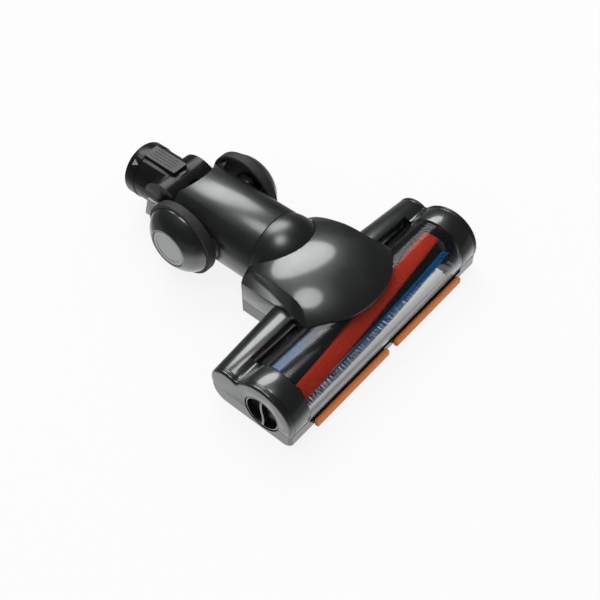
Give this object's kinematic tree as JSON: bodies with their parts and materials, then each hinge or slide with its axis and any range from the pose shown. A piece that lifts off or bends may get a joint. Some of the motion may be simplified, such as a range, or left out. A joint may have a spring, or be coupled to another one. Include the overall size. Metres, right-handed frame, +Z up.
{
  "type": "vacuum floor nozzle",
  "caption": "Motorised vacuum floor head with a clear window over a spinning brush bar, a ball elbow, cone wheels and a tilting wand connector.",
  "frame": {"origin": "middle of the bounding box at floor level", "axes": "X along the brush bar, -Y the front of the head, +Y towards the wand, +Z up"},
  "size_m": [0.21, 0.2426, 0.063],
  "materials": {
    "gunmetal_plastic": "glossy moulded plastic with fine metallic flake",
    "black_plastic": "semi-matte black moulding",
    "smoked_window": "clear smoked polycarbonate",
    "tyre_rubber": "soft matte tyre",
    "orange_strip": "short pile strip",
    "red_nylon": "dense soft nylon",
    "blue_bristle": "stiff bristle tufts",
    "steel": "turned steel",
    "brass": "turned brass",
    "grey_disc": "satin grey plastic"
  },
  "bodies": {
    "head": {"upper_shell": "gunmetal_plastic", "dome_cover": "gunmetal_plastic", "base_plate": "gunmetal_plastic", "base_screw_1": "steel", "base_screw_2": "steel", "base_screw_3": "steel", "base_screw_4": "steel", "glide_strip_left": "orange_strip", "glide_strip_right": "orange_strip", "rear_felt_strip": "orange_strip", "brush_window": "smoked_window", "window_seal": "black_plastic", "end_cap_left": "gunmetal_plastic", "end_cap_right": "gunmetal_plastic", "pivot_pin_left": "steel", "pivot_pin_right": "steel", "motor_can": "steel", "drive_belt": "black_plastic", "drive_bush": "brass"},
    "brush": {"brush_core": "black_plastic", "soft_band_1": "red_nylon", "soft_band_2": "red_nylon", "bristle_comb_1": "blue_bristle", "bristle_comb_2": "blue_bristle", "drive_pulley": "grey_disc"},
    "rotor": {"motor_pulley": "black_plastic"},
    "lock": {"brush_lock": "gunmetal_plastic", "lock_bush": "brass"},
    "elbow": {"elbow_ball": "gunmetal_plastic"},
    "neck": {"neck_upper_shell": "gunmetal_plastic", "neck_lower_shell": "gunmetal_plastic", "swivel_seal": "black_plastic", "axle_left": "steel", "axle_right": "steel", "tilt_pin_left": "steel", "tilt_pin_right": "steel"},
    "wheel_left": {"wheel_hub_left": "gunmetal_plastic", "tyre_left": "tyre_rubber", "wheel_disc_left": "grey_disc"},
    "wheel_right": {"wheel_hub_right": "gunmetal_plastic", "tyre_right": "tyre_rubber", "wheel_disc_right": "grey_disc"},
    "connector": {"wand_connector": "black_plastic", "contact_block": "black_plastic", "contact_pin_left": "brass", "contact_pin_right": "brass"}
  },
  "joints": [
    {"name": "brush_spin", "type": "hinge", "parent": "head", "child": "brush", "pos_m": [0, -0.09275, 0.0187], "axis": [1, 0, 0], "continuous": true},
    {"name": "rotor_spin", "type": "hinge", "parent": "head", "child": "rotor", "pos_m": [0, -0.05745, 0.0192], "axis": [1, 0, 0], "continuous": true},
    {"name": "lock_turn", "type": "hinge", "parent": "head", "child": "lock", "pos_m": [-0.105, -0.09275, 0.0187], "axis": [1, 0, 0], "range_deg": [0, 90]},
    {"name": "ball_pitch", "type": "hinge", "parent": "head", "child": "elbow", "pos_m": [0, -0.02155, 0.032], "axis": [1, 0, 0], "range_deg": [-12, 30]},
    {"name": "neck_swivel", "type": "hinge", "parent": "elbow", "child": "neck", "pos_m": [0, 0.04725, 0.032], "axis": [0, 1, 0], "range_deg": [-90, 90]},
    {"name": "wheel_left_roll", "type": "hinge", "parent": "neck", "child": "wheel_left", "pos_m": [-0.04, 0.04725, 0.03], "axis": [1, 0, 0], "continuous": true},
    {"name": "wheel_right_roll", "type": "hinge", "parent": "neck", "child": "wheel_right", "pos_m": [0.04, 0.04725, 0.03], "axis": [1, 0, 0], "continuous": true},
    {"name": "connector_tilt", "type": "hinge", "parent": "neck", "child": "connector", "pos_m": [0, 0.07925, 0.031], "axis": [1, 0, 0], "range_deg": [0, 85]}
  ],
  "couplings": [
    {"joint": "rotor_spin", "follows": "brush_spin", "ratio": 2.2222}
  ]
}
